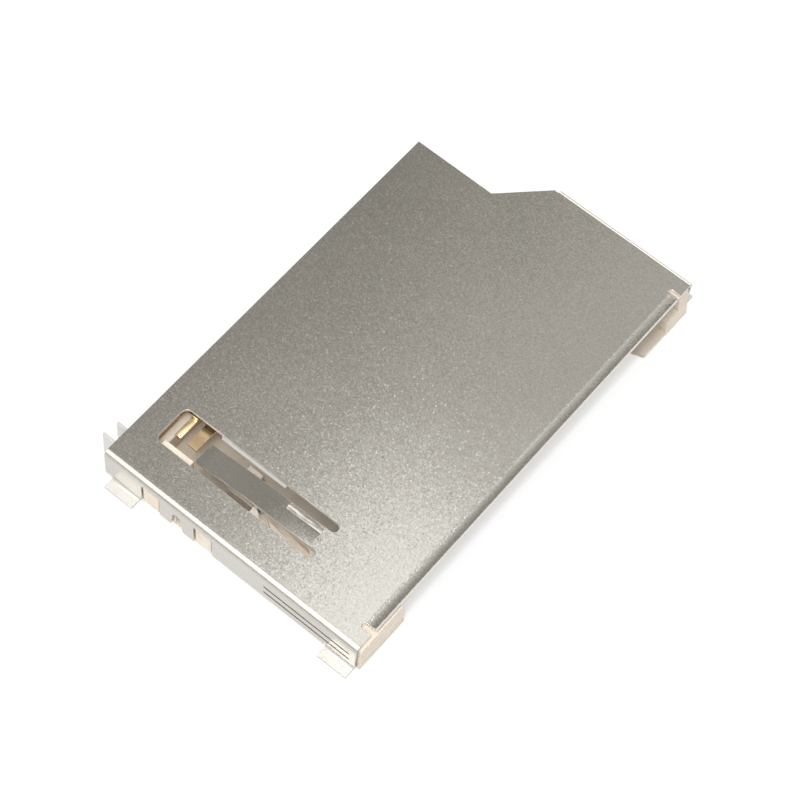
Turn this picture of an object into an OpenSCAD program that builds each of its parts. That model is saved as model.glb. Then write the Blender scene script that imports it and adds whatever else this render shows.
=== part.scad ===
// Card socket for a circuit board: a folded sheet-metal cover over a moulded housing, nine contact springs,
// a card-detect switch and a push-push ejector (slider, return spring and cam pin) along one side.
// The card goes in at the mouth (+X) and moves towards the rear (-X). The board is the plane z = 0.

/* [Socket] */
// Depth from the rear edge of the cover to its mouth
socket_depth = 18.4; // [18:0.1:26]
// Height from the board to the top of the cover
socket_height = 2.7; // [2.6:0.05:3.4]

/* [Card] */
// Width of the card
card_width = 24; // [20:0.5:30]
// Free play between the card and the two sides of its slot together
card_play = 0.2; // [0.05:0.05:0.5]
// Depth of the card's cut corner
card_corner = 4; // [3:0.1:4.5]
// Distance from the rear edge of the cover to the end stop of the card
card_stop = 3.5; // [3.4:0.05:3.7]
// Distance from the near side wall to the near side of the card slot
slot_offset = 4.1; // [4:0.05:5]
// Distance from the far side of the card slot to the far side wall
far_margin = 2.7; // [2.4:0.05:4]

/* [Cover] */
// Thickness of the sheet
sheet = 0.2; // [0.15:0.01:0.22]
// Outer radius of the folded edges
fold_radius = 0.35; // [0.3:0.01:0.4]
// Height of the lower edge of the side walls above the board
wall_lift = 0.3; // [0.25:0.05:0.45]
// Distance that the far side is cut back at the rear
step_width = 2.7; // [2.4:0.1:2.8]
// Distance from the rear edge to the cut-back's slanted side
step_start = 5.6; // [5.4:0.1:5.8]
// Length of the flared lip at the mouth
lip_length = 0.7; // [0.5:0.05:0.8]
// Radius of the flare on its upper face
lip_radius = 1.8; // [1.5:0.1:2.5]
// Width of the relief slots beside the lip
relief_width = 0.42; // [0.36:0.02:0.5]
// Distance from each folded edge to the middle of its relief slot
relief_offset = 1.1; // [1:0.05:1.3]
// Depth of the relief slots
relief_depth = 0.78; // [0.7:0.02:0.9]

/* [Tongue] */
// Distance from the rear edge to the U-shaped slot
tongue_slot_start = 1.54; // [1.5:0.02:1.8]
// Length of the U-shaped slot
tongue_slot_length = 11.45; // [11:0.05:11.6]
// Distance from the near fold to the U-shaped slot
tongue_slot_offset = 2.2; // [2.1:0.02:2.4]
// Width over both legs of the U-shaped slot
tongue_slot_width = 2.65; // [2.5:0.02:2.8]
// Width of each leg of the slot
tongue_gap = 0.6; // [0.5:0.01:0.7]
// Radius of the rear corners of the slot
tongue_corner = 0.45; // [0.3:0.05:0.5]
// Distance from the slot's rear end to the tip of the tongue
tongue_tip = 2.45; // [2.3:0.05:2.8]
// How far the tongue is bent down at its tip
tongue_drop = 0.6; // [0.4:0.02:0.64]
// Length of the stiffening rib at the tongue's root
rib_length = 2.5; // [1.5:0.1:4]
// Width of the rib
rib_width = 0.42; // [0.25:0.01:0.5]
// Height of the rib above the tongue
rib_height = 0.09; // [0.05:0.01:0.12]
// Diameter of the forming pimple beside the rib
pimple = 0.3; // [0.25:0.01:0.36]

/* [Solder tabs] */
// Width of each solder tab of the cover
tab_width = 2.05; // [1.8:0.05:2.2]
// Distance that the tabs stick out of the side walls
tab_reach = 0.7; // [0.5:0.05:0.9]
// Distance from the rear end of a side wall to its rear tab
tab_inset = 0.55; // [0.35:0.05:0.6]
// Distance from the mouth end of a side wall to its front tab
tab_end = 0.05; // [0.05:0.05:0.5]
// Width of the relief notch beside a tab
tab_notch = 0.14; // [0.1:0.02:0.16]

/* [Latch windows] */
// Width of each latch boss on the housing
boss_width = 1.15; // [1:0.05:1.25]
// Distance from the rear edge to the first boss
boss_first = 2.85; // [2.8:0.05:3]
// Distance between the two bosses
boss_pitch = 3.9; // [3.7:0.05:4.1]
// Height of each boss
boss_height = 1.6; // [1.2:0.05:1.65]
// Clearance round a boss in its window
boss_clearance = 0.1; // [0.05:0.01:0.15]
// Distance from the rear edge to the boss on the far side
far_boss = 12.6; // [12.2:0.1:13]
// Width of the gap between the two wall flaps
flap_gap = 0.5; // [0.4:0.05:0.6]
// Height of the gap between the two wall flaps
flap_height = 1.85; // [1:0.05:1.9]
// Length of the two slits that free the spring strip in the near wall
strip_length = 6.15; // [5:0.05:6.5]
// Distance from the mouth end of the near wall to the slits
strip_end = 0.45; // [0.4:0.05:1]
// Height of each slit
strip_slit = 0.16; // [0.1:0.01:0.2]
// Height of the spring strip between the slits
strip_height = 0.5; // [0.4:0.05:0.55]

/* [Housing] */
// Thickness of the floor
floor_thickness = 0.28; // [0.25:0.01:0.3]
// Thickness of the moulded near side wall
side_wall = 0.55; // [0.5:0.01:0.58]
// Clearance between the housing and the sheet around it
seat_gap = 0.03; // [0.02:0.01:0.05]
// Distance that the floor ends short of the mouth
floor_setback = 2; // [1.5:0.1:3]
// Distance from the rear edge to the front of the solid rear corner block
corner_block_depth = 4.1; // [4.05:0.05:4.2]
// Distance from the near wall to the side of the rear corner block
corner_block_width = 2.95; // [2.9:0.05:3.25]
// Depth of the near block at the mouth
mouth_block_depth = 3.8; // [3.6:0.1:3.9]
// Distance that the blocks at the mouth stand proud of the cover
mouth_proud = 0.2; // [0.1:0.05:0.25]
// Distance that the post and the lower block at the far mouth corner lean out of the cover at their foot
ledge_proud = 0.3; // [0.25:0.05:0.5]
// Height of the lower far block
ledge_height = 1.2; // [1.1:0.05:1.4]
// Length of the low sill beside the lower far block, level with the floor
sill_length = 2.1; // [1.5:0.05:2.6]
// Distance that the end of the sill slants back from its front corner
sill_slant = 0.5; // [0.3:0.05:0.8]
// Width of the full-height post at the far mouth corner
post_width = 1.1; // [0.9:0.05:1.4]
// Gap between the post and the far side wall
post_gap = 0.14; // [0.1:0.01:0.2]
// Clearance between the card's way and the lower far block
ledge_gap = 0.2; // [0.1:0.05:0.5]
// Depth of the recess under the lip beside the post
recess_depth = 1.2; // [0.8:0.1:2]

/* [Contacts] */
// Width of each contact spring
contact_width = 0.7; // [0.6:0.05:0.8]
// Thickness of the contact strip
contact_sheet = 0.15; // [0.12:0.01:0.16]
// Spacing of the last two contacts
narrow_pitch = 1.7; // [1.4:0.05:2]
// Distance from the far side of the card to the first contact
contact_offset = 2.6; // [2.2:0.05:3]
// Distance from the near side of the card to the last contact
contact_margin = 2.2; // [2:0.05:3]
// Height of the contact point above the board when free
contact_height = 1.2; // [1.1:0.05:1.25]
// Distance from the card's end stop to the contact point
contact_run = 3.6; // [3:0.1:4.5]
// Length of the contact's turned-down nose, in front of the contact point
contact_nose = 0.95; // [0.8:0.05:1.2]
// Distance that the solder tails stick out behind the cover
tail_reach = 0.85; // [0.6:0.05:0.9]
// Clearance round each contact in its slot
contact_clearance = 0.15; // [0.12:0.01:0.18]

/* [Detect switch] */
// Width of the sprung leaf
leaf_width = 0.72; // [0.5:0.02:0.76]
// Width of the fixed stop strip
stop_width = 0.44; // [0.3:0.02:0.46]
// Thickness of both switch strips
switch_sheet = 0.15; // [0.12:0.01:0.16]
// Distance from the rear edge to the middle of the stop strip
stop_offset = 2.25; // [2.24:0.02:2.4]
// Distance from the rear edge to the middle of the leaf
leaf_offset = 3.18; // [3.1:0.02:3.3]
// Distance from the near side wall to the free end of the stop strip
stop_tip = 3.65; // [3.5:0.05:4]
// Distance from the near side wall to the free end of the leaf
leaf_tip = 3.78; // [3.5:0.02:4]
// Distance that the blade tails stick out behind the cover
blade_reach = 1.05; // [0.8:0.05:1.2]
// Distance from the near side wall to the first blade tail
blade_offset = 1; // [0.9:0.05:1.1]
// Distance between the two blade tails
blade_pitch = 1.15; // [1.05:0.05:1.2]
// Distance from the rear edge to the bars that carry the strips
bar_offset = 1.05; // [1:0.05:1.1]
// Width of the bars and of the links at their ends
bar_width = 0.4; // [0.36:0.02:0.42]
// Distance that the blade tails reach in under the cover
blade_depth = 0.65; // [0.6:0.05:0.7]
// Distance from the tongue's slot to the link of the leaf
leaf_link_offset = 0.3; // [0.28:0.01:0.34]
// Height of the leaf above the board
leaf_height = 1.7; // [1.6:0.01:1.72]
// Height of the stop above the leaf
stop_rise = 0.35; // [0.3:0.01:0.36]
// Height of the turned-up end of the stop
stop_end_height = 0.36; // [0.2:0.02:0.36]

/* [Ejector] */
// Travel of the slider from its front stop to its rear end
slider_travel = 3.6; // [3.2:0.1:3.6]
// Length of the slider's body
slider_length = 6.3; // [6.2:0.05:6.4]
// Width of the slider's body
slider_width = 2.05; // [2:0.01:2.08]
// Distance from the slider's top to the underside of the cover
slider_headroom = 0.75; // [0.72:0.01:0.85]
// Length of the slider's front foot, which the spring pushes
foot_length = 1.7; // [1.5:0.1:1.8]
// Running clearance of the slider
slider_clearance = 0.08; // [0.06:0.01:0.1]
// Depth of the heart-shaped groove
groove_depth = 0.55; // [0.5:0.05:0.6]
// Width of the groove
groove_width = 0.5; // [0.46:0.01:0.52]
// Sideways travel of the cam pin in the groove
groove_shift = 0.5; // [0.4:0.05:0.55]
// Diameter of the cam pin's wire
pin_wire = 0.36; // [0.3:0.01:0.38]
// Running clearance round the cam pin in its pivot hole
pin_clearance = 0.03; // [0.02:0.01:0.06]
// Length of the cam pin between its two bent ends
pin_length = 6.8; // [6.7:0.05:6.85]
// Thickness of the lock leaf
lock_sheet = 0.12; // [0.1:0.01:0.15]
// Height of the lock leaf
lock_height = 0.75; // [0.6:0.05:0.8]
// Length of the part of the lock leaf that stands free of the slider
lock_length = 2.2; // [1.8:0.1:2.6]
// Distance that the lock leaf reaches into the side of the card
lock_depth = 0.5; // [0.3:0.05:0.6]
// Outer diameter of the return spring
spring_diameter = 1; // [0.9:0.02:1]
// Diameter of the spring's wire
spring_wire = 0.16; // [0.12:0.01:0.18]
// Number of turns of the return spring
spring_turns = 12; // [8:1:14]

/* [Hidden] */
$fn = 48;
cut = 0.01;
steel = "#a9a69c";
gold = "#c9a25a";
resin = "#e8dfd0";

slot_width = card_width + card_play;
socket_width = slot_offset + slot_width + far_margin;
rear = -socket_depth / 2;
mouth = socket_depth / 2;
near = -socket_width / 2;
far = socket_width / 2;
fold_inner = fold_radius - sheet;
near_fold = near + fold_radius;
far_fold = far - fold_radius;
step_end = step_start + step_width;
sheet_low = socket_height - sheet;
lip_start = mouth - lip_length;
lip_angle = asin(lip_length / lip_radius);
relief_near = near_fold + relief_offset;
relief_far = far_fold - relief_offset;
slot_start = rear + tongue_slot_start;
slot_end = slot_start + tongue_slot_length;
slot_near = near_fold + tongue_slot_offset;
slot_far = slot_near + tongue_slot_width;
leg_end = tongue_gap / 2;
root_overlap = 0.05;
tongue_root = slot_end - leg_end;

housing_top = sheet_low - seat_gap;
housing_near = near + sheet + seat_gap;
housing_far = far - sheet - seat_gap;
housing_rear = rear + sheet + seat_gap;
mouth_face = mouth + mouth_proud;
card_near = near + slot_offset;
card_far = card_near + slot_width;
stop_face = rear + card_stop;
channel_near = housing_near + side_wall;
channel_rear = rear + corner_block_depth;
mouth_block_rear = mouth - mouth_block_depth;
pocket_rear = rear + tongue_slot_start + tongue_gap * 0.68;
pocket_near = near + corner_block_width;
pocket_far = card_near + 1.9;
bar_x = rear + bar_offset;
stop_level = leaf_height + stop_rise;
blade_starts = [near + blade_offset, near + blade_offset + blade_pitch];
boss_reach = sheet + seat_gap - 0.06;
boss_low = 0.35;
boss_starts = [rear + boss_first, rear + boss_first + boss_pitch];
post_near = housing_far - post_width;
block_near = card_far + ledge_gap;
gap_x = rear + boss_first + boss_pitch / 2 + boss_width / 2;

slider_front = mouth_block_rear - slider_clearance;
slider_rear = slider_front - slider_length;
slider_far = card_near - slider_clearance / 2;
slider_near = slider_far - slider_width;
slider_low = floor_thickness + slider_clearance;
slider_top = sheet_low - slider_headroom;
foot_rear = slider_front - foot_length;
groove_floor = slider_top - groove_depth;
hook_thickness = 1;
hook_reach = 1.3;
hook_height = 0.8;
hook_width = 0.65;
hook_front = stop_face + slider_travel + 0.1;
hook_rear = hook_front - hook_thickness;
pin_start_x = mouth_block_rear + 0.8 - pin_length;
pin_y = slider_far - groove_width;
pin_pivot_x = pin_start_x + pin_length;
pin_z = slider_top + 0.12 + pin_wire / 2;
pin_low = groove_floor + 0.06;
pivot_low = floor_thickness + 0.6;
spring_y = channel_near + 0.08 + spring_diameter / 2;
spring_z = slider_low + 0.2 + spring_diameter / 2;
spigot_diameter = spring_diameter - 2 * spring_wire - 0.12;
spigot_length = 0.9;
spring_radius = (spring_diameter - spring_wire) / 2;
spring_gap = 0.02;
spring_start = channel_rear + spring_gap + spring_wire / 2;
spring_end = foot_rear - spring_gap - spring_wire / 2;
contact_pitch = (card_width - contact_offset - contact_margin - narrow_pitch) / 7;
contact_base = 0.5;
lock_low = slider_low + lock_height / 2.5;

// Places of the contacts, counted from the far side: three spacings as on the card
function contact_y(k) = card_far - card_play / 2 - contact_offset
    - min(k, 7) * contact_pitch - max(0, k - 7) * narrow_pitch;

function unit(v) = v / norm(v);

// Sideways offset of a strip's edge at point i of its middle line, with mitred corners
function side(path, i) =
    let (a = max(i, 1), b = min(i + 1, len(path) - 1))
    let (before = unit(path[a] - path[a - 1]), after = unit(path[b] - path[b - 1]))
    let (middle = unit(before + after))
    [-middle.y, middle.x] / (middle * before);

function band(path, low, high) = concat(
    [for (i = [0 : len(path) - 1]) path[i] + side(path, i) * high],
    [for (i = [len(path) - 1 : -1 : 0]) path[i] + side(path, i) * low]);

function strip(path, thickness) = band(path, -thickness / 2, thickness / 2);

// Extrudes a profile drawn in Y and Z along X
module along_x(start, length) {
    translate([start, 0, 0])
        rotate([90, 0, 90])
            linear_extrude(length)
                children();
}

// Extrudes a profile drawn in X and Z along Y
module along_y(start, length) {
    translate([0, start + length, 0])
        rotate([90, 0, 0])
            linear_extrude(length)
                children();
}

module box(x, y, z, dx, dy, dz) {
    translate([x, y, z])
        cube([dx, dy, dz]);
}

// A slot with round ends from one point to another
module lane(from, to, width) {
    run = to - from;
    translate(from)
        rotate(atan2(run.y, run.x))
            translate([0, -width / 2])
                square([norm(run), width]);
    translate(from)
        circle(d = width);
    translate(to)
        circle(d = width);
}

// Quarter ring of sheet, from straight up to straight out along -x
module fold_ring(inner) {
    intersection() {
        difference() {
            circle(r = inner + sheet);
            circle(r = inner);
        }
        translate([-inner - sheet, 0])
            square(inner + sheet);
    }
}

// Flat blank of the top plate, with the far rear corner cut back
module plate_outline() {
    difference() {
        polygon([
            [rear, near_fold],
            [mouth, near_fold],
            [mouth, far_fold],
            [rear + step_end, far_fold],
            [rear + step_start, far_fold - step_width],
            [rear, far_fold - step_width]
        ]);
        for (y = [relief_near, relief_far])
            lane([mouth - relief_depth + relief_width / 2, y], [mouth + 1, y], relief_width);
        translate([lip_start, relief_near])
            square([lip_length + cut, relief_far - relief_near]);
        tongue_slot();
    }
}

// Opening that the tongue and the two legs of its slot take up
module tongue_slot() {
    translate([slot_start, slot_near + tongue_corner])
        square([tongue_corner, tongue_slot_width - 2 * tongue_corner]);
    for (y = [slot_near + tongue_corner, slot_far - tongue_corner])
        translate([slot_start + tongue_corner, y])
            circle(r = tongue_corner);
    translate([slot_start + tongue_corner, slot_near])
        square([tongue_root - slot_start - tongue_corner, tongue_slot_width]);
    for (y = [slot_near + leg_end, slot_far - leg_end])
        translate([tongue_root, y])
            circle(r = leg_end);
}

// Tongue: flat root, long slope down, knee and a steeper tip, with a rib along its far edge
module tongue() {
    middle = socket_height - sheet / 2;
    tip = slot_start + tongue_tip;
    bend = [tongue_root - 0.3, middle];
    knee = [tip + 3.2, middle - 0.45 * tongue_drop];
    path = [
        [tongue_root + root_overlap, middle],
        bend,
        knee,
        [tip + 0.8, middle - 0.97 * tongue_drop],
        [tip, middle - tongue_drop]
    ];
    rib_far = slot_far - tongue_gap - sheet / 4;
    rib_near = rib_far - rib_width;
    along_y(slot_near + tongue_gap, tongue_slot_width - 2 * tongue_gap)
        polygon(strip(path, sheet));
    translate([bend.x, 0, middle])
        rotate([0, -atan2(bend.y - knee.y, bend.x - knee.x), 0])
            along_x(-rib_length, rib_length)
                polygon([
                    [rib_near, 0],
                    [rib_near, sheet / 2 + rib_height / 3],
                    [rib_far, sheet / 2 + rib_height],
                    [rib_far, 0]
                ]);
    translate([bend.x + pimple / 2, rib_near - pimple, socket_height - sheet / 4])
        cylinder(d1 = pimple, d2 = pimple / 2, h = sheet / 4 + rib_height / 2);
}

// Lip at the mouth, flared up as a lead-in for the card
module lip() {
    reach = 2 * lip_radius;
    along_y(relief_near + relief_width / 2, relief_far - relief_near - relief_width)
        translate([lip_start, socket_height + lip_radius])
            intersection() {
                difference() {
                    circle(r = lip_radius + sheet);
                    circle(r = lip_radius);
                }
                polygon([[0, 0], [0, -reach], [reach * tan(lip_angle), -reach]]);
            }
}

// Side wall along the near side: fold, wall and two outward solder tabs
module side_wall_sheet(start, length, tabs) {
    wall_top = socket_height - fold_radius;
    foot_radius = fold_inner;
    translate([0, near_fold, wall_top])
        along_x(start, length)
            fold_ring(fold_inner);
    box(start, near, wall_lift, length, sheet, wall_top - wall_lift);
    for (x = tabs) {
        box(x, near, sheet + foot_radius, tab_width, sheet, wall_lift - sheet - foot_radius + cut);
        translate([0, near - foot_radius, sheet + foot_radius])
            along_x(x, tab_width)
                rotate(180)
                    fold_ring(foot_radius);
        box(x, near - tab_reach, 0, tab_width, tab_reach - foot_radius, sheet);
    }
}

// Window for a latch boss, open towards the board
module boss_window(x) {
    box(x - boss_clearance, near - sheet, 0, boss_width + 2 * boss_clearance, 3 * sheet,
        boss_low + boss_height + boss_clearance);
}

// Windows, notches and slits in the near wall
module near_wall_cuts() {
    deep = 3 * sheet;
    start = near - sheet;
    for (x = boss_starts)
        boss_window(x);
    along_y(start, deep)
        polygon([
            [gap_x - flap_gap, 0],
            [gap_x - flap_gap / 2, flap_height * 0.87],
            [gap_x, flap_height],
            [gap_x + flap_gap / 2, flap_height * 0.87],
            [gap_x + flap_gap, 0]
        ]);
    box(mouth - tab_end - tab_width - tab_notch, start, 0, tab_notch, deep, wall_lift + 0.3);
    for (z = [0, strip_slit + strip_height])
        box(mouth - strip_end - strip_length, start, wall_lift + 0.57 + z, strip_length, deep, strip_slit);
}

// One folded sheet: plate, tongue, flared lip, side walls and solder tabs
module cover_shell() {
    near_tabs = [rear + tab_inset, mouth - tab_end - tab_width];
    far_start = rear + step_end + 0.3;
    far_tabs = [far_start + tab_inset, mouth - tab_end - tab_width];
    color(steel) {
        translate([0, 0, sheet_low])
            linear_extrude(sheet)
                plate_outline();
        tongue();
        lip();
        difference() {
            side_wall_sheet(rear, socket_depth, near_tabs);
            near_wall_cuts();
        }
        mirror([0, 1, 0])
            difference() {
                side_wall_sheet(far_start, mouth - far_start, far_tabs);
                boss_window(rear + far_boss);
            }
    }
}

// Outline of the moulded housing, inside the folded sheet
module housing_outline() {
    inset = seat_gap + sheet;
    polygon([
        [housing_rear, housing_near],
        [mouth_face, housing_near],
        [mouth_face, housing_far],
        [rear + step_end + inset, housing_far],
        [rear + step_start + inset, far_fold - step_width],
        [housing_rear, far_fold - step_width]
    ]);
}

// Space for the card, with its cut corner at the far rear
module card_space() {
    polygon([
        [stop_face, card_near],
        [mouth_face + 1, card_near],
        [mouth_face + 1, card_far],
        [stop_face + card_corner, card_far],
        [stop_face, card_far - card_corner]
    ]);
}

// Far corner at the mouth: post, lower block and sill are left standing, the post clear of the side wall
module far_corner_cuts() {
    length = recess_depth + mouth_proud + cut;
    start = mouth - recess_depth;
    box(start, card_far - cut, ledge_height, length, post_near - card_far + cut, socket_height);
    box(start, card_far - cut, floor_thickness, length, block_near - card_far + cut, socket_height);
    box(start, housing_far - post_gap, -cut, length, post_gap + cut, socket_height);
    box(mouth, card_far - cut, -cut, mouth_proud + cut, housing_far - card_far + 2 * cut, socket_height);
}

// Fronts of the post and of the lower block, which lean out, and the sill with its slanted end and step down
module far_corner() {
    lean = ledge_proud / housing_top;
    front = mouth + ledge_proud - lean * floor_thickness;
    rear_end = mouth - recess_depth;
    fronts = [[post_near, housing_far - post_gap, housing_top], [block_near, post_near + cut, ledge_height]];
    for (part = fronts)
        along_y(part[0], part[1] - part[0])
            polygon([
                [mouth - cut, 0],
                [mouth + ledge_proud, 0],
                [mouth + lean * (housing_top - part[2]), part[2]],
                [mouth - cut, part[2]]
            ]);
    for (step = [[floor_thickness, 0.6 * sill_slant], [floor_thickness / 3, -sill_slant]])
        translate([0, block_near - sill_length, 0])
            linear_extrude(step[0])
                polygon([
                    [rear_end, step[1]],
                    [front, 0],
                    [front, sill_length + cut],
                    [rear_end, sill_length + cut]
                ]);
}

// Slots in which the switch strips lie, and the pocket in which they end
module switch_cuts() {
    box(pocket_rear, pocket_near, floor_thickness, channel_rear - pocket_rear + 1,
        pocket_far - pocket_near, socket_height);
    box(bar_x - contact_clearance, near + blade_offset - contact_clearance, leaf_height - seat_gap,
        pocket_rear - bar_x + contact_clearance + cut, pocket_far - near - blade_offset + contact_clearance,
        socket_height);
    for (y = blade_starts)
        box(rear - cut, y - seat_gap, -cut, bar_x - rear, switch_sheet + 2 * seat_gap, socket_height);
}

// Moulded frame: floor, rear wall, side rails, mouth blocks and latch bosses
module housing() {
    color(resin) {
        difference() {
            linear_extrude(housing_top)
                housing_outline();
            translate([0, 0, floor_thickness])
                linear_extrude(socket_height)
                    card_space();
            box(channel_rear, channel_near, floor_thickness, mouth_block_rear - channel_rear,
                card_near - channel_near + cut, socket_height);
            box(mouth - floor_setback, card_near, -cut, floor_setback + 1, slot_width, 1);
            switch_cuts();
            far_corner_cuts();
            near_block_cuts();
            top_edge();
            mirror([0, 1, 0])
                top_edge();
            box(gap_x - flap_gap / 2, housing_near - cut, boss_low, flap_gap, side_wall + 2 * cut,
                flap_height - boss_low);
            for (k = [0 : 8])
                contact_slot(k);
        }
        far_corner();
        for (x = boss_starts)
            box(x, housing_near - boss_reach, boss_low, boss_width, boss_reach + cut, boss_height);
        box(rear + far_boss, housing_far - cut, boss_low, boss_width, boss_reach + cut, boss_height);
        translate([channel_rear - cut, spring_y, spring_z])
            rotate([0, 90, 0])
                cylinder(d = spigot_diameter, h = spigot_length);
    }
}

// Bevel that clears the inside of the cover's folded edge
module top_edge() {
    along_x(rear, socket_depth + mouth_proud + cut)
        polygon([
            [housing_near - cut, housing_top - fold_inner],
            [housing_near + fold_inner, housing_top + cut],
            [housing_near - cut, housing_top + cut]
        ]);
}

// Near block at the mouth: sloped end, pivot hole and the way in which the cam pin swings
module near_block_cuts() {
    slope = 0.35;
    along_x(mouth_block_rear - cut, mouth_block_depth + 1)
        polygon([
            [card_near - slope, socket_height],
            [card_near + cut, socket_height],
            [card_near + cut, ledge_height],
            [card_near, ledge_height]
        ]);
    translate([pin_pivot_x, pin_y, pivot_low])
        cylinder(d = pin_wire + 2 * pin_clearance, h = socket_height);
    box(mouth_block_rear - cut, pin_y - pin_wire, pin_z - pin_wire,
        pin_pivot_x - mouth_block_rear + pin_wire, 1.75 * pin_wire, socket_height);
}

// The contact's way through the rear wall and the window under its spring
module contact_slot(k) {
    y = contact_y(k);
    width = contact_width + 2 * contact_clearance;
    root = contact_root(k);
    tip = root + contact_run + contact_nose + contact_sheet + contact_clearance;
    tight = contact_width + 2 * seat_gap;
    box(rear, y - tight / 2, -cut, root - rear + cut, tight,
        contact_base + contact_sheet / 2 + seat_gap + cut);
    box(root - cut, y - width / 2, -cut, tip - root + cut, width, contact_height);
}

// Rear end of a contact's spring: the cut corner of the card shifts the first one forward
function contact_root(k) = stop_face + max(0, contact_y(k) - (card_far - card_corner));

module contact(k) {
    root = contact_root(k);
    half = contact_sheet / 2;
    base = contact_base;
    path = [
        [rear - tail_reach, half],
        [rear + 0.35, half],
        [rear + 0.8, base],
        [root + 0.2, base],
        [root + contact_run - 0.45, contact_height - half - 0.08],
        [root + contact_run, contact_height - half],
        [root + contact_run + 0.4, contact_height - half - 0.1],
        [root + contact_run + contact_nose, base + 0.1]
    ];
    color(gold)
        along_y(contact_y(k) - contact_width / 2, contact_width)
            polygon(strip(path, contact_sheet));
}

module contact_1() { contact(1); }
module contact_2() { contact(2); }
module contact_3() { contact(3); }
module contact_4() { contact(4); }
module contact_5() { contact(5); }
module contact_6() { contact(6); }
module contact_7() { contact(7); }
module contact_8() { contact(8); }
module contact_9() { contact(0); }

// Blade tail, bar along the rear wall, cross link and a flat strip that comes back towards the near side
module switch_strip(tail_y, middle_x, width, level, link_y, tip_y) {
    box(rear - blade_reach, tail_y, 0, blade_reach + blade_depth, switch_sheet, level + switch_sheet);
    box(rear + blade_depth - cut, tail_y, level, bar_x + bar_width - rear - blade_depth + cut,
        switch_sheet, switch_sheet);
    box(bar_x, tail_y, level, bar_width, link_y + bar_width - tail_y, switch_sheet);
    box(bar_x, link_y, level, middle_x + width / 2 - bar_x, bar_width, switch_sheet);
    box(middle_x - width / 2, tip_y, level, width, link_y - tip_y + bar_width, switch_sheet);
}

module detect_stop() {
    link_y = slot_far + 0.02;
    color(gold) {
        switch_strip(blade_starts[0], rear + stop_offset, stop_width, stop_level, link_y, near + stop_tip);
        box(rear + stop_offset - stop_width / 2, link_y - switch_sheet, stop_level, stop_width, switch_sheet,
            stop_end_height);
    }
}

module detect_leaf() {
    color(gold)
        switch_strip(blade_starts[1], rear + leaf_offset, leaf_width, leaf_height,
            slot_far + leaf_link_offset, near + leaf_tip);
}

// Groove on the slider's top: way in, notch that holds the card, and way back
module heart_groove() {
    start = [pin_start_x, pin_y];
    over = start + [slider_travel, -groove_shift];
    notch = over + [-1.1, -0.5] * groove_shift;
    back = over + [0, -groove_shift];
    turn = start + [slider_travel / 3, -2 * groove_shift];
    lane(start, over, groove_width);
    lane(over, notch, groove_width);
    lane(notch, back, groove_width);
    lane(back, turn, groove_width);
    lane(turn, start, groove_width);
}

// Moulded slider: body with the heart groove, foot for the spring and hook that the card pushes
module eject_slider() {
    color(resin)
        difference() {
            union() {
                box(slider_rear, slider_near, slider_low, slider_length, slider_width,
                    slider_top - slider_low);
                box(foot_rear, channel_near + slider_clearance, slider_low, foot_length,
                    slider_near - channel_near, slider_top - slider_low);
                box(hook_rear, slider_far - hook_width, slider_low, slider_rear - hook_rear + cut,
                    hook_width, hook_height);
                box(hook_rear, slider_far - hook_width, slider_low, hook_thickness,
                    hook_width + hook_reach, hook_height);
                translate([foot_rear - spigot_length, spring_y, spring_z])
                    rotate([0, 90, 0])
                        cylinder(d = spigot_diameter, h = spigot_length + cut);
            }
            translate([0, 0, groove_floor])
                linear_extrude(groove_depth + 1)
                    heart_groove();
            lock_slit();
        }
}

// Middle line of the lock leaf, seen from above, from its root in the slider to its tip
function lock_path() = [
    [slider_front - lock_height / 2.5, slider_far - 2.5 * lock_sheet],
    [foot_rear + foot_length * 0.3, slider_far - 2.5 * lock_sheet],
    [foot_rear, slider_far + lock_sheet],
    [foot_rear - lock_length * 0.7, slider_far + lock_depth],
    [foot_rear - lock_length, slider_far + lock_depth * 0.3]
];

module lock_slit() {
    gap = 0.06;
    translate([0, 0, lock_low - gap])
        linear_extrude(slider_top)
            polygon(strip(lock_path(), lock_sheet + 2 * gap));
}

module card_lock_leaf() {
    color(steel)
        translate([0, 0, lock_low])
            linear_extrude(lock_height)
                polygon(strip(lock_path(), lock_sheet));
}

// Wire with both ends bent down: one turns in the housing, the other follows the groove
module cam_pin() {
    color(steel) {
        translate([pin_start_x, pin_y, pin_z])
            rotate([0, 90, 0])
                cylinder(d = pin_wire, h = pin_length);
        translate([pin_start_x, pin_y, pin_low])
            cylinder(d = pin_wire, h = pin_z - pin_low);
        translate([pin_pivot_x, pin_y, pivot_low + 0.05])
            cylinder(d = pin_wire, h = pin_z - pivot_low - 0.05);
        for (x = [pin_start_x, pin_pivot_x])
            translate([x, pin_y, pin_z])
                sphere(d = pin_wire);
    }
}

// Return spring: a round wire swept along a helix about the X direction
module eject_spring() {
    steps = 16;
    sides = 8;
    count = spring_turns * steps;
    lead = (spring_end - spring_start) / count;
    points = [
        for (i = [0 : count], j = [0 : sides - 1])
            let (turn = i * 360 / steps, ring = j * 360 / sides)
            let (r = spring_radius + spring_wire / 2 * cos(ring))
            [spring_start + i * lead + spring_wire / 2 * sin(ring), r * cos(turn), r * sin(turn)]
    ];
    walls = [
        for (i = [0 : count - 1], j = [0 : sides - 1])
            let (a = i * sides + j, b = i * sides + (j + 1) % sides)
            [a, a + sides, b + sides, b]
    ];
    ends = [
        [for (j = [0 : sides - 1]) j],
        [for (j = [sides - 1 : -1 : 0]) count * sides + j]
    ];
    color("silver")
        translate([0, spring_y, spring_z])
            polyhedron(points, concat(walls, ends), convexity = 8);
}

cover_shell();
housing();
contact_1();
contact_2();
contact_3();
contact_4();
contact_5();
contact_6();
contact_7();
contact_8();
contact_9();
detect_leaf();
detect_stop();
eject_slider();
eject_spring();
cam_pin();
card_lock_leaf();
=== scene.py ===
import math

import bmesh
import bpy
from mathutils import Matrix, Vector


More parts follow.
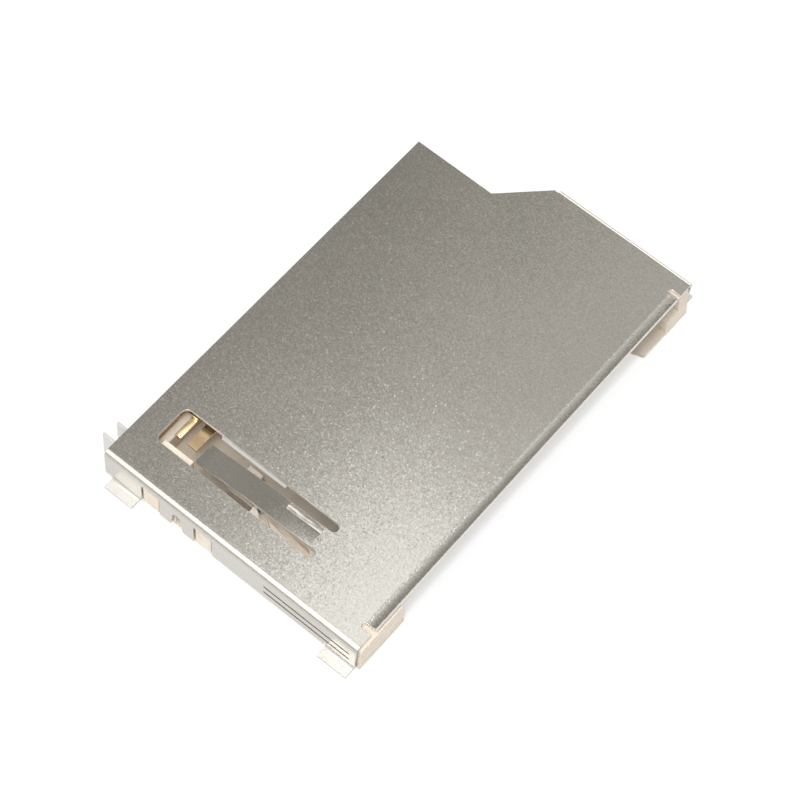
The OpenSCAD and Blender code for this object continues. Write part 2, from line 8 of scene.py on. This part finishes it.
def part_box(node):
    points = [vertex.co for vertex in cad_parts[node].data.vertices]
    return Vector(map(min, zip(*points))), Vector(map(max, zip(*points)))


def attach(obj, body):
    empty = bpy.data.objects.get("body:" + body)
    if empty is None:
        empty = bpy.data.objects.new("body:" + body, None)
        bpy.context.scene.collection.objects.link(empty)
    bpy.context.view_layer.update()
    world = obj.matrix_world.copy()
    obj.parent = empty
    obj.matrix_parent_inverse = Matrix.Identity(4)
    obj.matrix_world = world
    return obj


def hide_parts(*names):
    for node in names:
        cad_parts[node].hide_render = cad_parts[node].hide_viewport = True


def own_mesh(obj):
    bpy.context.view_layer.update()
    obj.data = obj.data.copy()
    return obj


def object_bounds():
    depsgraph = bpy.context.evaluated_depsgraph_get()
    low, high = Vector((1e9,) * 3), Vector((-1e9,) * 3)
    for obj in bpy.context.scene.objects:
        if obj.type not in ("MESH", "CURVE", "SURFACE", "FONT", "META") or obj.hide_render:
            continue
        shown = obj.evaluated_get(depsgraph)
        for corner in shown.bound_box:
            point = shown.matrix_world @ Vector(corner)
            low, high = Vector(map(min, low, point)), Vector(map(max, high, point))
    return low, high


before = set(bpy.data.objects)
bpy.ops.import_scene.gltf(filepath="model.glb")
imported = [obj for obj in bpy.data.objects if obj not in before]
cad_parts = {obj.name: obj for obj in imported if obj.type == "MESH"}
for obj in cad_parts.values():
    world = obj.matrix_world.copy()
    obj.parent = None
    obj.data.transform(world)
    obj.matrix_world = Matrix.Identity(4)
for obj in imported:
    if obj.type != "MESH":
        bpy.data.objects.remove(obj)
cad_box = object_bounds()


# The housing is the moulded frame that everything else is pushed into. It is a cream glass-filled resin,
# injected in one shot, with small radii on its edges, flow lines along the walls and a faint fibre speckle.
MM = 0.001


class Socket:
    """One socket of a node tree, which can take part in Python sums."""

    def __init__(self, tree, link=None):
        self.tree = tree
        self.link = link

    def node(self, kind, settings=None, values=None, out=0):
        """Adds a node, sets it up, fills or links its inputs and returns one of its outputs."""
        made = self.tree.nodes.new(kind)
        for key, setting in (settings or {}).items():
            setattr(made, key, setting)
        for key, value in (values or {}).items():
            if isinstance(value, Socket):
                self.tree.links.new(value.link, made.inputs[key])
            else:
                made.inputs[key].default_value = value
        return Socket(self.tree, made.outputs[out] if made.outputs else None)

    def math(self, operation, first, second=0.0):
        """The result of one step of arithmetic on sockets or numbers."""
        return self.node("ShaderNodeMath", {"operation": operation}, {0: first, 1: second})

    def __add__(self, other):
        return self.math("ADD", self, other)

    def __radd__(self, other):
        return self.math("ADD", other, self)

    def __sub__(self, other):
        return self.math("SUBTRACT", self, other)

    def __rsub__(self, other):
        return self.math("SUBTRACT", other, self)

    def __mul__(self, other):
        return self.math("MULTIPLY", self, other)

    def __rmul__(self, other):
        return self.math("MULTIPLY", other, self)

    def __abs__(self):
        return self.math("ABSOLUTE", self)

    def between(self, low, high):
        """0 below low and 1 above high, with a soft ramp between them."""
        values = {"Value": self, "From Min": low, "From Max": high}
        return self.node("ShaderNodeMapRange", {"interpolation_type": "SMOOTHSTEP"}, values)

    def mix(self, low, high):
        """The colour low where this value is 0 and high where it is 1."""
        values = {0: self}
        for key, colour in ((6, low), (7, high)):
            values[key] = colour if isinstance(colour, Socket) else (*colour, 1)
        return self.node("ShaderNodeMix", {"data_type": "RGBA"}, values, out=2)

    def stretched(self, x, y, z):
        """Coordinates scaled so that a pattern is drawn out along some directions."""
        return self.node("ShaderNodeVectorMath", {"operation": "MULTIPLY"}, {0: self, 1: (x, y, z)})

    def noise(self, scale, detail=2.0):
        """Cloudy values around 0.5 over these coordinates."""
        return self.node("ShaderNodeTexNoise", None, {"Vector": self, "Scale": scale, "Detail": detail})

    def along(self, axis):
        """One component, X, Y or Z, of a vector or colour."""
        return self.node("ShaderNodeSeparateXYZ", None, {0: self}, out=axis)


def start_finish(name):
    """A new material, its tree as a Socket and the object coordinates in millimetres."""
    made = bpy.data.materials.new(name)
    made.use_nodes = True
    made.node_tree.nodes.clear()
    tree = Socket(made.node_tree)
    place = tree.node("ShaderNodeTexCoord", out="Object")
    return made, tree, place.stretched(1 / MM, 1 / MM, 1 / MM)


def close_finish(tree, values, height, strength, depth, normal=None):
    """The shader of a finish, with its values and its relief."""
    relief = {"Strength": strength, "Distance": depth * MM, "Height": height}
    if normal:
        relief["Normal"] = normal
    values["Normal"] = tree.node("ShaderNodeBump", None, relief)
    shader = tree.node("ShaderNodeBsdfPrincipled", None, values)
    tree.node("ShaderNodeOutputMaterial", None, {"Surface": shader})


def moulded_resin(name, pale, warm, fibre):
    """Glass-filled resin: pale and warm flow lines, and fibres that show as specks."""
    made, tree, place = start_finish(name)
    flow = place.stretched(0.9, 0.16, 0.9).noise(1.2, 3.0)
    cloud = place.noise(0.45)
    speck = place.stretched(1.0, 0.35, 1.0).noise(14.0)
    colour = (flow * 0.6 + cloud * 0.4).between(0.35, 0.65).mix(pale, warm)
    close_finish(tree, {
        "Base Color": speck.between(0.62, 0.74).mix(colour, fibre),
        "Roughness": 0.44 + 0.16 * cloud + 0.08 * speck,
        "Specular IOR Level": 0.45,
    }, place.noise(26.0) * 0.7 + flow * 0.8, 0.35, 0.02)
    return made


def plain_mesh(rough, name):
    """The object that a rough one gives once its modifiers are applied."""
    bpy.context.view_layer.update()
    done = rough.evaluated_get(bpy.context.evaluated_depsgraph_get())
    mesh = bpy.data.meshes.new_from_object(done)
    mesh.name = name
    bpy.data.objects.remove(rough)
    piece = bpy.data.objects.new(name, mesh)
    bpy.context.scene.collection.objects.link(piece)
    return piece


def crowded(line, room):
    """Whether a face beside an edge is narrower than the room that a rounding needs."""
    nearly_straight = math.radians(155)
    for loop in line.link_loops:
        for beside in (loop.link_loop_next.edge, loop.link_loop_prev.edge):
            corner = next(v for v in line.verts if v in beside.verts)
            along = line.other_vert(corner).co - corner.co
            across = beside.other_vert(corner).co - corner.co
            angle = along.angle(across)
            if angle < nearly_straight and across.length * math.sin(angle) < room:
                return True
    return False


def touches(line, spots, reach):
    """Whether an edge passes within reach of one of the spots."""
    start, end = [v.co for v in line.verts]
    for spot in spots:
        share = (spot - start).dot(end - start) / (end - start).length_squared
        if (start.lerp(end, min(1, max(0, share))) - spot).length < reach:
            return True
    return False


def rounded(node, edge, finish):
    """A merged copy of a CAD node in its finish, with the sharp edges rounded that have room for it."""
    width = edge * MM
    weld = 0.0005 * MM
    flat, slight, corner, crease, folded_back = [math.radians(a) for a in (0.4, 2, 28, 50, 130)]
    long_edge = 5 * MM
    narrow_face = 0.2 * MM
    tries = 3
    sound = bmesh.new()
    sound.from_mesh(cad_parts[node].data)
    bmesh.ops.remove_doubles(sound, verts=sound.verts, dist=weld)
    bmesh.ops.dissolve_limit(sound, angle_limit=flat, verts=sound.verts, edges=sound.edges)
    sound.edges.index_update()
    sharp = [e for e in sound.edges
             if e.calc_face_angle_signed(0) > corner and not crowded(e, 2 * width)]
    for bend in sound.edges:
        soft = bend.calc_face_angle(0) < slight
        bend.smooth = soft or bend.calc_length() > long_edge or crowded(bend, narrow_face)
    for _ in range(tries):
        work = sound.copy()
        work.edges.ensure_lookup_table()
        for line in sharp:
            work.edges[line.index].smooth = True
        bmesh.ops.bevel(work, geom=[work.edges[e.index] for e in sharp], affect="EDGES", offset=width,
                        offset_type="OFFSET", segments=2, profile=0.5, clamp_overlap=False)
        folds = [(e.verts[0].co + e.verts[1].co) / 2 for e in work.edges
                 if e.calc_face_angle(0) > folded_back]
        sharp = [e for e in sharp if not touches(e, folds, 3 * width)]
    for line in work.edges:
        line.smooth = line.smooth and line.calc_face_angle(0) < crease
    mesh = bpy.data.meshes.new(node + "_rough")
    work.to_mesh(mesh)
    work.free()
    sound.free()
    mesh.materials.append(finish)
    mesh.polygons.foreach_set("use_smooth", [True] * len(mesh.polygons))
    rough = bpy.data.objects.new(node + "_rough", mesh)
    bpy.context.scene.collection.objects.link(rough)
    shading = rough.modifiers.new("shading", "WEIGHTED_NORMAL")
    shading.keep_sharp = True
    shading.weight = 100
    return plain_mesh(rough, node + "_piece")


resin_edge = 0.03
housing_resin = moulded_resin("housing_resin", pale=(0.72, 0.65, 0.565), warm=(0.65, 0.575, 0.485),
                              fibre=(0.8, 0.75, 0.67))
housing = rounded("housing", resin_edge, housing_resin)
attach(housing, "base")
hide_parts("housing")


# The nine contact springs are stamped from copper alloy strip, bent over a mandrel and pushed into the
# housing from the rear. Their springs are gold plated and their solder tails are dipped in tin.
CONTACTS = [f"contact_{k}" for k in range(1, 10)]
contact_width = 0.7
contact_sheet = 0.15
contact_corner = 0.03
contact_bend = 0.3
contact_base = 0.5
contact_tip = 0.95
contact_tail = 0.85
contact_arm = 3.4
tin_line = -8.75


def plated_strip(name):
    """Rolled strip in thin gold, with tin over the tails behind the tin line."""
    tin_fade = 0.2
    made, tree, place = start_finish(name)
    roll = place.stretched(0.4, 8.0, 8.0).noise(2.4, 3.0)
    tone = place.noise(1.3)
    tin = 1 - (place.along("X") + 0.3 * tone).between(tin_line, tin_line + tin_fade)
    gold = tone.between(0.3, 0.7).mix((0.75, 0.57, 0.35), (0.63, 0.46, 0.27))
    close_finish(tree, {
        "Base Color": tin.mix(gold, (0.74, 0.73, 0.7)),
        "Metallic": 1.0,
        "Roughness": 0.2 + 0.16 * roll + 0.14 * tin,
    }, roll, 0.25, 0.01)
    return made


def bent_stock_tree():
    """Stock with a rounded rectangular section that follows a path of edges, filleted at its bends."""
    tree = bpy.data.node_groups.new("bent_stock", "GeometryNodeTree")
    for name, kind in (("Path", "Geometry"), ("Width", "Float"), ("Thickness", "Float"),
                       ("Corner", "Float"), ("Bend", "Float"), ("Finish", "Material")):
        tree.interface.new_socket(name, in_out="INPUT", socket_type="NodeSocket" + kind)
    tree.interface.new_socket("Stock", in_out="OUTPUT", socket_type="NodeSocketGeometry")
    given = tree.nodes.new("NodeGroupInput")
    path, width, thickness, corner, bend, finish = [Socket(tree, s) for s in list(given.outputs)[:6]]
    line = path.node("GeometryNodeMeshToCurve", None, {"Mesh": path})
    line = line.node("GeometryNodeFilletCurve", {"mode": "POLY"},
                     {"Curve": line, "Count": 6, "Radius": bend, "Limit Radius": True})
    section = width.node("GeometryNodeCurvePrimitiveQuadrilateral", None,
                         {"Width": width, "Height": thickness})
    section = section.node("GeometryNodeFilletCurve", {"mode": "POLY"},
                           {"Curve": section, "Count": 4, "Radius": corner, "Limit Radius": True})
    stock = line.node("GeometryNodeCurveToMesh", None,
                      {"Curve": line, "Profile Curve": section, "Fill Caps": True})
    stock = stock.node("GeometryNodeRealizeInstances", None, {"Geometry": stock})
    stock = stock.node("GeometryNodeSetMaterial", None, {"Geometry": stock, "Material": finish})
    tree.links.new(stock.link, tree.nodes.new("NodeGroupOutput").inputs["Stock"])
    return tree


def grown(name, mesh, tree, sizes):
    """The plain mesh that a node tree makes from a mesh and its sizes."""
    crease = math.radians(50)
    rough = bpy.data.objects.new(name + "_rough", mesh)
    bpy.context.scene.collection.objects.link(rough)
    grow = rough.modifiers.new("grow", "NODES")
    grow.node_group = tree
    for item in tree.interface.items_tree:
        if item.in_out == "INPUT" and item.name in sizes:
            grow[item.identifier] = sizes[item.name]
    piece = plain_mesh(rough, name)
    work = bmesh.new()
    work.from_mesh(piece.data)
    bmesh.ops.recalc_face_normals(work, faces=work.faces)
    work.to_mesh(piece.data)
    work.free()
    piece.data.shade_smooth()
    piece.data.set_sharp_from_angle(angle=crease)
    return piece


def path_mesh(name, paths):
    """A mesh of edges, one chain for each path of points in millimetres."""
    points, edges = [], []
    for path in paths:
        edges += [(len(points) + i, len(points) + i + 1) for i in range(len(path) - 1)]
        points += [Vector(p) * MM for p in path]
    mesh = bpy.data.meshes.new(name)
    mesh.from_pydata(points, edges, [])
    return mesh


def contact_path(node):
    """Middle line of one contact: tail on the board, step up, spring arm, contact point and nose."""
    low, high = [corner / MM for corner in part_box(node)]
    middle = (low.y + high.y) / 2
    half = contact_sheet / 2
    crown = high.z - half
    point = high.x - contact_tip - half * 0.9
    rear = low.x + contact_tail
    profile = [
        (low.x, half),
        (rear + 0.35, half),
        (rear + 0.8, contact_base),
        (point - contact_arm, contact_base),
        (point - 0.45, crown - 0.08),
        (point, crown),
        (point + 0.4, crown - 0.1),
        (point + contact_tip, contact_base + 0.1),
    ]
    return [(x, middle, z) for x, z in profile]


contact_gold = plated_strip("contact_gold")
bent_stock = bent_stock_tree()
contact_paths = path_mesh("contact_paths", [contact_path(c) for c in CONTACTS])
contacts = grown("contact_springs", contact_paths, bent_stock, {
    "Width": contact_width * MM,
    "Thickness": contact_sheet * MM,
    "Corner": contact_corner * MM,
    "Bend": contact_bend * MM,
    "Finish": contact_gold,
})
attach(contacts, "base")
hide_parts(*CONTACTS)


# The card-detect switch is a pair of stamped strips laid in the rear corner of the housing: a fixed stop and
# a sprung leaf above it. Both are gold plated, and their upright blade tails are tinned for soldering.
strip_edge = 0.025
for node in ("detect_stop", "detect_leaf"):
    strip = rounded(node, strip_edge, contact_gold)
    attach(strip, "base")
    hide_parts(node)


# The ejector slider is a small moulding of slippery cream resin that runs in the side channel. It carries
# the heart-shaped groove on its top, the foot that the spring pushes and the hook that the card meets.
slider_resin = moulded_resin("slider_resin", pale=(0.85, 0.78, 0.69), warm=(0.78, 0.7, 0.6),
                             fibre=(0.9, 0.85, 0.77))
slider = rounded("eject_slider", resin_edge, slider_resin)
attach(slider, "ejector")
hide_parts("eject_slider")


# The lock leaf is a thin strip of bright spring steel pressed into a slit of the slider. Its bulge clicks
# into the notch in the side of the card.
def drawn_steel(name, tone):
    """Bright spring steel with fine lines along the way it was drawn."""
    made, tree, place = start_finish(name)
    draw = place.stretched(0.5, 9.0, 9.0).noise(3.0, 3.0)
    cloud = place.noise(0.9)
    darker = tuple(0.72 * c for c in tone)
    close_finish(tree, {
        "Base Color": (0.6 * cloud + 0.4 * draw).between(0.3, 0.7).mix(tone, darker),
        "Metallic": 1.0,
        "Roughness": 0.2 + 0.22 * draw,
    }, draw, 0.3, 0.01)
    return made


spring_steel = drawn_steel("spring_steel", (0.66, 0.65, 0.63))
leaf_edge = 0.02
lock_leaf = rounded("card_lock_leaf", leaf_edge, spring_steel)
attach(lock_leaf, "ejector")
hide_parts("card_lock_leaf")


# The return spring is a coil of drawn steel wire with closed ends, held on two spigots between the rear of
# the channel and the foot of the slider. In the socket it shortens as the slider goes in; here it is built
# at one length, that of the CAD part.
spring_low, spring_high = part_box("eject_spring")
spring_wire = 0.16 * MM
spring_turns = 14


def coil_tree():
    """Wire wound along +X from the origin, with one closed turn at each end."""
    steps_per_turn = 24
    wire_sides = 10
    tree = bpy.data.node_groups.new("closed_coil", "GeometryNodeTree")
    for name, kind in (("Seed mesh", "Geometry"), ("Length", "Float"), ("Radius", "Float"),
                       ("Wire", "Float"), ("Turns", "Int"), ("Finish", "Material")):
        tree.interface.new_socket(name, in_out="INPUT", socket_type="NodeSocket" + kind)
    tree.interface.new_socket("Coil", in_out="OUTPUT", socket_type="NodeSocketGeometry")
    given = tree.nodes.new("NodeGroupInput")
    length, radius, wire, turns, finish = [Socket(tree, s) for s in list(given.outputs)[1:6]]
    line = length.node("GeometryNodeCurvePrimitiveLine")
    line = line.node("GeometryNodeResampleCurve", None, {"Curve": line, "Count": turns * steps_per_turn + 1})
    turn = line.node("GeometryNodeSplineParameter") * turns
    open_turns = turns - 2
    lead = wire.math("DIVIDE", length - 2 * wire, open_turns)
    closed = turn.math("MINIMUM", turn, 1) + turn.math("MAXIMUM", turn - open_turns - 1, 0)
    x = (turn - closed) * lead + closed * wire
    angle = turn * math.tau
    spot = x.node("ShaderNodeCombineXYZ", None, {
        "X": x,
        "Y": angle.math("COSINE", angle) * radius,
        "Z": angle.math("SINE", angle) * radius,
    })
    line = line.node("GeometryNodeSetPosition", None, {"Geometry": line, "Position": spot})
    section = wire.node("GeometryNodeCurvePrimitiveCircle", None,
                        {"Resolution": wire_sides, "Radius": wire * 0.5})
    coil = line.node("GeometryNodeCurveToMesh", None,
                     {"Curve": line, "Profile Curve": section, "Fill Caps": True})
    coil = coil.node("GeometryNodeRealizeInstances", None, {"Geometry": coil})
    coil = coil.node("GeometryNodeSetMaterial", None, {"Geometry": coil, "Material": finish})
    tree.links.new(coil.link, tree.nodes.new("NodeGroupOutput").inputs["Coil"])
    return tree


spring_length = spring_high.x - spring_low.x
spring = grown("return_spring", bpy.data.meshes.new("coil_seed"), coil_tree(), {
    "Length": spring_length - spring_wire,
    "Radius": (spring_high.y - spring_low.y - spring_wire) / 2,
    "Wire": spring_wire,
    "Turns": spring_turns,
    "Finish": spring_steel,
})
spring_axis = (spring_low + spring_high) / 2
spring.data.transform(Matrix.Translation((spring_low.x + spring_wire / 2, spring_axis.y, spring_axis.z)))
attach(spring, "base")
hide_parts("eject_spring")
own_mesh(spring)


# The cam pin is one piece of hard steel wire with both ends bent down. The front end turns in the mouth
# block of the housing and the rear end follows the groove of the slider.
pin_low, pin_high = [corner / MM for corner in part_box("cam_pin")]
pin_wire = 0.36
pin_bend = 0.24
nearly_round = 0.49
pin_level = pin_high.z - pin_wire / 2
pin_side = (pin_low.y + pin_high.y) / 2
follower_x = pin_low.x + pin_wire / 2
follower_end = 1.26
pivot_x = pin_high.x - pin_wire / 2
pin_path = [
    (follower_x, pin_side, follower_end),
    (follower_x, pin_side, pin_level),
    (pivot_x, pin_side, pin_level),
    (pivot_x, pin_side, pin_low.z),
]
cam_pin = grown("cam_pin_wire", path_mesh("cam_pin_path", [pin_path]), bent_stock, {
    "Width": pin_wire * MM,
    "Thickness": pin_wire * MM,
    "Corner": pin_wire * nearly_round * MM,
    "Bend": pin_bend * MM,
    "Finish": spring_steel,
})
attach(cam_pin, "cam")
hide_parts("cam_pin")


# The cover is one sheet of plated steel, blanked, then folded down over the housing on two sides and snapped
# over its bosses. The plating is satin with a fine crystal sparkle and drawn at the folds, with a painted
# highlight at the start of the upturned lip. The tabs are tinned and cut edges show bare steel; the slits of
# the walls are painted dark with shade, and the pressed faces of the tongue carry painted dark reflection
# streaks.
def plated_sheet(name):
    """Satin plating that finds folds, lip, tabs and slits by their places on the cover.

    The start of the lip carries a painted highlight, the slits painted shade and the tongue's pressed faces
    painted dark reflection streaks.
    """
    made, tree, place = start_finish(name)
    plating_dark, plating_pale, glint_tone = (0.57, 0.55, 0.505), (0.63, 0.61, 0.565), (0.64, 0.62, 0.575)
    painted_streak_tone, painted_highlight_tone, tin_tone = (0.26, 0.25, 0.23), (0.92, 0.9, 0.86), (0.72, 0.71, 0.69)
    cut_tone, painted_slit_shade_tone = (0.84, 0.81, 0.76), (0.17, 0.135, 0.1)
    fold_start, wall_face = 14.95, 15.2
    tab_start, tab_top = 15.25, 0.3
    slits_low, slits_high = 0.5, 2.0
    lip_start, highlight_start, highlight_end = 8.3, 8.55, 9.2
    crystals_per_mm = 14.0
    mouth = place.along("X")
    side = abs(place.along("Y"))
    height = place.along("Z")
    crystals = place.node("ShaderNodeTexVoronoi", None, {"Vector": place, "Scale": crystals_per_mm},
                          out="Color")
    tilt = crystals.node("ShaderNodeVectorMath", {"operation": "SUBTRACT"},
                         {0: crystals, 1: (0.5, 0.5, 0.5)})
    face = tree.node("ShaderNodeNewGeometry", out="Normal")
    flared = (0 - face.along("X")).between(0.0, 0.08) * mouth.between(lip_start, lip_start + 0.2)
    glint = crystals.along("Z").between(0.8, 0.95)
    lean = 0.022 + 0.045 * glint + 0.07 * flared
    tilt = tilt.node("ShaderNodeVectorMath", {"operation": "SCALE"}, {0: tilt, "Scale": lean})
    facing = tree.node("ShaderNodeVectorMath", {"operation": "ADD"}, {0: face, 1: tilt})
    facing = tree.node("ShaderNodeVectorMath", {"operation": "NORMALIZE"}, {0: facing})
    sparkle = crystals.along("X")
    cloud = place.noise(0.22, 3.0)
    grain = place.noise(9.0, 3.0)
    folds = side.between(fold_start, wall_face)
    drawn = folds * place.stretched(9.0, 0.4, 0.4).noise(2.0)
    shade = (0.5 * grain + 0.3 * cloud + 0.2 * sparkle).between(0.3, 0.7)
    tinned = side.between(tab_start, tab_start + 0.15) * (1 - height.between(tab_top, tab_top + 0.15))
    sheared = (1 - abs(face.along("Z")).between(0.3, 0.6)) * (1 - folds)
    # Painted shade: the faces inside the slits of the walls are coloured dark brown, duller and less
    # metallic.
    painted_slit_shade = side.between(wall_face, wall_face + 0.1) * face.along("Z").between(0.5, 0.8)
    painted_slit_shade = painted_slit_shade * height.between(slits_low, slits_low + 0.1)
    painted_slit_shade = painted_slit_shade * (1 - height.between(slits_high - 0.1, slits_high))
    # Painted reflection: dark streaks are coloured onto the tongue's faces that lean toward the near side.
    pressed = (0 - face.along("Y")).between(0.05, 0.12) * (1 - folds)
    painted_reflection_streaks = pressed * place.stretched(0.25, 3.0, 3.0).noise(2.0).between(0.4, 0.56)
    plating = glint.mix(shade.mix(plating_dark, plating_pale), glint_tone)
    plating = painted_reflection_streaks.mix(plating, painted_streak_tone)
    # Painted highlight: the start of the upturned lip is coloured near white, fading out toward the mouth.
    painted_lip_highlight = flared * (1 - mouth.between(highlight_start, highlight_end))
    plating = tinned.mix(painted_lip_highlight.mix(plating, painted_highlight_tone), tin_tone)
    worn = 0.1 + 0.06 * grain + 0.05 * cloud + 0.1 * drawn + 0.35 * tinned + 0.12 * flared
    close_finish(tree, {
        "Base Color": painted_slit_shade.mix(sheared.mix(plating, cut_tone), painted_slit_shade_tone),
        "Metallic": 1.0 - 0.4 * sheared - 0.4 * painted_slit_shade,
        "Roughness": worn + 0.45 * sheared + 0.4 * painted_slit_shade,
    }, 0.4 * grain + 0.6 * drawn, 0.08, 0.006, facing)
    return made


sheet_edge = 0.02
cover = rounded("cover_shell", sheet_edge, plated_sheet("plated_sheet"))
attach(cover, "base")
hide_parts("cover_shell")


# The socket lies on a plain white table under soft lamps: two overhead, one at each side and a small one
# beside the camera. The ceiling darkens away from the camera, and the plating mirrors that.
def area_lamp(name, place, aim, size, radiance, colour):
    """A soft rectangular lamp, with places and sides in millimetres."""
    data = bpy.data.lights.new(name, "AREA")
    data.shape = "RECTANGLE"
    data.size, data.size_y = [side * MM for side in size]
    data.energy = radiance * math.pi * data.size * data.size_y
    data.color = colour
    lamp = bpy.data.objects.new(name, data)
    bpy.context.scene.collection.objects.link(lamp)
    facing = (Vector(aim) - Vector(place)).to_track_quat("-Z", "Y").to_matrix().to_4x4()
    lamp.matrix_world = Matrix.Translation(Vector(place) * MM) @ facing


lamp_white = (1.0, 0.985, 0.96)
lamp_cool = (0.97, 0.985, 1.0)
area_lamp("overhead_strip", (-5, -83, 210), (-5, -83, 0), (100, 334), 0.82, lamp_cool)
area_lamp("near_ceiling", (-45, -115, 212), (-45, -115, 0), (210, 272), 1.0, lamp_white)
area_lamp("near_softbox", (0, -225, 165), (0, -5, 0), (320, 240), 0.65, lamp_white)
area_lamp("far_card", (-60, 260, 110), (0, 5, 0), (260, 160), 1.6, lamp_white)
area_lamp("camera_lamp", (25, -75, 220), (0, 0, 0), (120, 120), 5.2, lamp_white)

world = bpy.data.worlds.new("studio")
bpy.context.scene.world = world
world.use_nodes = True
world.node_tree.nodes.clear()
studio = Socket(world.node_tree)
way = studio.node("ShaderNodeTexCoord", out="Generated")
up = way.along("Z")
far_side = (-0.939, 0.344, 0)
away = way.node("ShaderNodeVectorMath", {"operation": "DOT_PRODUCT"}, {0: way, 1: far_side}, out="Value")
ceiling = away.between(0.36, 0.46).mix((0.64, 0.63, 0.605), (0.29, 0.28, 0.255))
ceiling = away.between(0.47, 0.55).mix(ceiling, (0.4, 0.39, 0.37))
ceiling = away.between(0.62, 0.8).mix(ceiling, (0.27, 0.26, 0.24))
horizon = up.between(0.14, 0.2).mix((0.34, 0.28, 0.21), (0.56, 0.56, 0.56))
tone = up.between(0.2, 0.32).mix(horizon, ceiling)
sky = studio.node("ShaderNodeBackground", None, {"Color": tone, "Strength": 1.0})
studio.node("ShaderNodeOutputWorld", None, {"Surface": sky})

table_mesh = bpy.data.meshes.new("table")
table_gap = 0.02 * MM
reach = 2.5
table_mesh.from_pydata([(-reach, -reach, 0), (reach, -reach, 0), (reach, reach, 0), (-reach, reach, 0)],
                       [], [(0, 1, 2, 3)])
table_mesh.transform(Matrix.Translation((0, 0, cad_box[0][2] - table_gap)))
table = bpy.data.objects.new("table", table_mesh)
bpy.context.scene.collection.objects.link(table)
paper, paint, spot = start_finish("table_paper")
rays = paint.node("ShaderNodeLightPath", out="Is Camera Ray")
rays = rays + paint.node("ShaderNodeLightPath", out="Is Glossy Ray")
rays = rays + paint.node("ShaderNodeLightPath", out="Is Transmission Ray")
matt = paint.node("ShaderNodeBsdfDiffuse", None, {"Color": (0.95, 0.95, 0.95, 1)})
glow = paint.node("ShaderNodeEmission", None, {"Color": (1, 1, 1, 1), "Strength": 1.0})
# The table's glow is lowered under the socket's footprint: a painted shade beneath the part, on top of the
# real shadow that the matt share of the table takes.
shaded = 0.45
painted_shade_footprint = (1 - abs(spot.along("X")).between(9.0, 9.4)) * (1 - abs(spot.along("Y")).between(15.3, 15.7))
surface = paint.node("ShaderNodeMixShader", None, {0: (0.9 - shaded * painted_shade_footprint) * rays, 1: matt, 2: glow})
paint.node("ShaderNodeOutputMaterial", None, {"Surface": surface})
table_mesh.materials.append(paper)


# The camera looks down over the near mouth corner through a long lens, a little rolled.
azimuth, elevation, roll = [math.radians(a) for a in (33.023, 61.512, 7.2245)]
photo_side = 800
focal_px = 2600
distance = 149.08
target = Vector((0, -0.43, 2.7))
target_px = (401.358, 370.094)
back = Vector((math.sin(azimuth) * math.cos(elevation), -math.cos(azimuth) * math.cos(elevation),
               math.sin(elevation)))
level = Vector((math.cos(azimuth), math.sin(azimuth), 0))
steep = back.cross(level)
right = math.cos(roll) * level + math.sin(roll) * steep
upward = math.cos(roll) * steep - math.sin(roll) * level
offset_right = (target_px[0] - photo_side / 2) / focal_px * distance
offset_up = (photo_side / 2 - target_px[1]) / focal_px * distance
eye = target + back * distance - offset_right * right - offset_up * upward
lens = bpy.data.cameras.new("photo_camera")
lens.sensor_width = 36
lens.lens = focal_px / photo_side * lens.sensor_width
lens.clip_start = 0.005
camera = bpy.data.objects.new("photo_camera", lens)
bpy.context.scene.collection.objects.link(camera)
turn = Matrix((right, upward, back)).transposed().to_4x4()
camera.matrix_world = Matrix.Translation(eye * MM) @ turn
bpy.context.scene.camera = camera
bpy.context.scene.view_settings.view_transform = "Standard"
